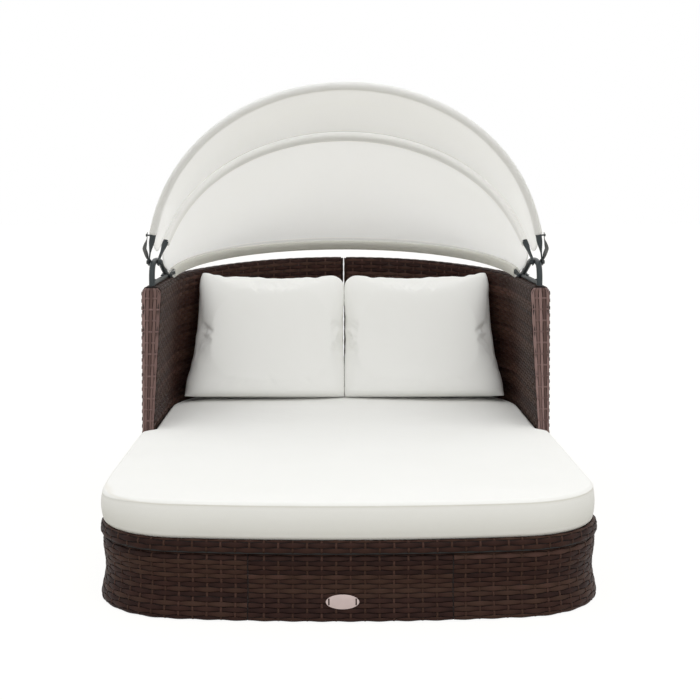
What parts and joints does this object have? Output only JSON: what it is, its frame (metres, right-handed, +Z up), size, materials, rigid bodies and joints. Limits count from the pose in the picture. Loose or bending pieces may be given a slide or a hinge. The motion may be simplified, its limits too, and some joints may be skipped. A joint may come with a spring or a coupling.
{
  "type": "outdoor daybed with folding canopy",
  "caption": "Garden daybed with a woven waisted base, a wrap-round wall with a slot at the back, a thick mattress, pillows and a folding fabric hood on bows.",
  "frame": {"origin": "on the floor, under the middle of the whole object's footprint", "axes": "+X to the right seen from the open front, +Y towards the wall at the back, +Z up"},
  "size_m": [1.3064, 2.0662, 1.3829],
  "materials": {
    "wicker": "woven flat polyethylene strand, brown melange, slightly satin",
    "coated_steel": "dark grey powder coat, satin",
    "zinc_plated": "zinc plated",
    "webbing": "grey woven webbing",
    "hood_cloth": "off-white plain-weave polyester",
    "cream_cloth": "cream-white polyester cover",
    "black_plastic": "moulded black plastic"
  },
  "bodies": {
    "daybed": {"base_frame": "coated_steel", "skirt_front": "wicker", "deck_frame": "coated_steel", "deck_weave": "wicker", "glide_centre": "black_plastic", "rear_bow": "coated_steel", "canopy_cover": "hood_cloth", "mattress": "cream_cloth", "skirt_left": "wicker", "glide_front_left": "black_plastic", "glide_middle_left": "black_plastic", "glide_rear_left": "black_plastic", "wall_frame_left": "coated_steel", "wall_weave_left": "wicker", "wall_bolt_left_1": "zinc_plated", "wall_bolt_left_2": "zinc_plated", "wall_bolt_left_3": "zinc_plated", "bracket_left": "coated_steel", "bracket_bolt_left_1": "coated_steel", "bracket_bolt_left_2": "coated_steel", "pivot_bolt_left": "coated_steel", "pivot_nut_left": "coated_steel", "pivot_washer_left_outer": "black_plastic", "pivot_washer_left_inner": "black_plastic", "rear_bow_bolt_left": "coated_steel", "rear_bow_nut_left": "coated_steel", "pillow_left": "cream_cloth", "skirt_right": "wicker", "glide_front_right": "black_plastic", "glide_middle_right": "black_plastic", "glide_rear_right": "black_plastic", "wall_frame_right": "coated_steel", "wall_weave_right": "wicker", "wall_bolt_right_1": "zinc_plated", "wall_bolt_right_2": "zinc_plated", "wall_bolt_right_3": "zinc_plated", "bracket_right": "coated_steel", "bracket_bolt_right_1": "coated_steel", "bracket_bolt_right_2": "coated_steel", "pivot_bolt_right": "coated_steel", "pivot_nut_right": "coated_steel", "pivot_washer_right_outer": "black_plastic", "pivot_washer_right_inner": "black_plastic", "rear_bow_bolt_right": "coated_steel", "rear_bow_nut_right": "coated_steel", "pillow_right": "cream_cloth"},
    "front_bow": {"front_bow": "coated_steel", "strap_pin_left": "coated_steel", "strap_pin_right": "coated_steel", "strap_left": "webbing", "strap_right": "webbing"},
    "middle_bow": {"middle_bow": "coated_steel"}
  },
  "joints": [
    {"name": "canopy_fold", "type": "hinge", "parent": "daybed", "child": "front_bow", "pos_m": [0, 0.08454, 0.82137], "axis": [-1, 0, 0], "range_deg": [0, 90], "deforming": ["canopy_cover"]},
    {"name": "middle_bow_fold", "type": "hinge", "parent": "daybed", "child": "middle_bow", "pos_m": [0, 0.08454, 0.82137], "axis": [-1, 0, 0], "range_deg": [0, 23.5]}
  ],
  "couplings": [
    {"joint": "middle_bow_fold", "follows": "canopy_fold", "ratio": 0.26}
  ]
}
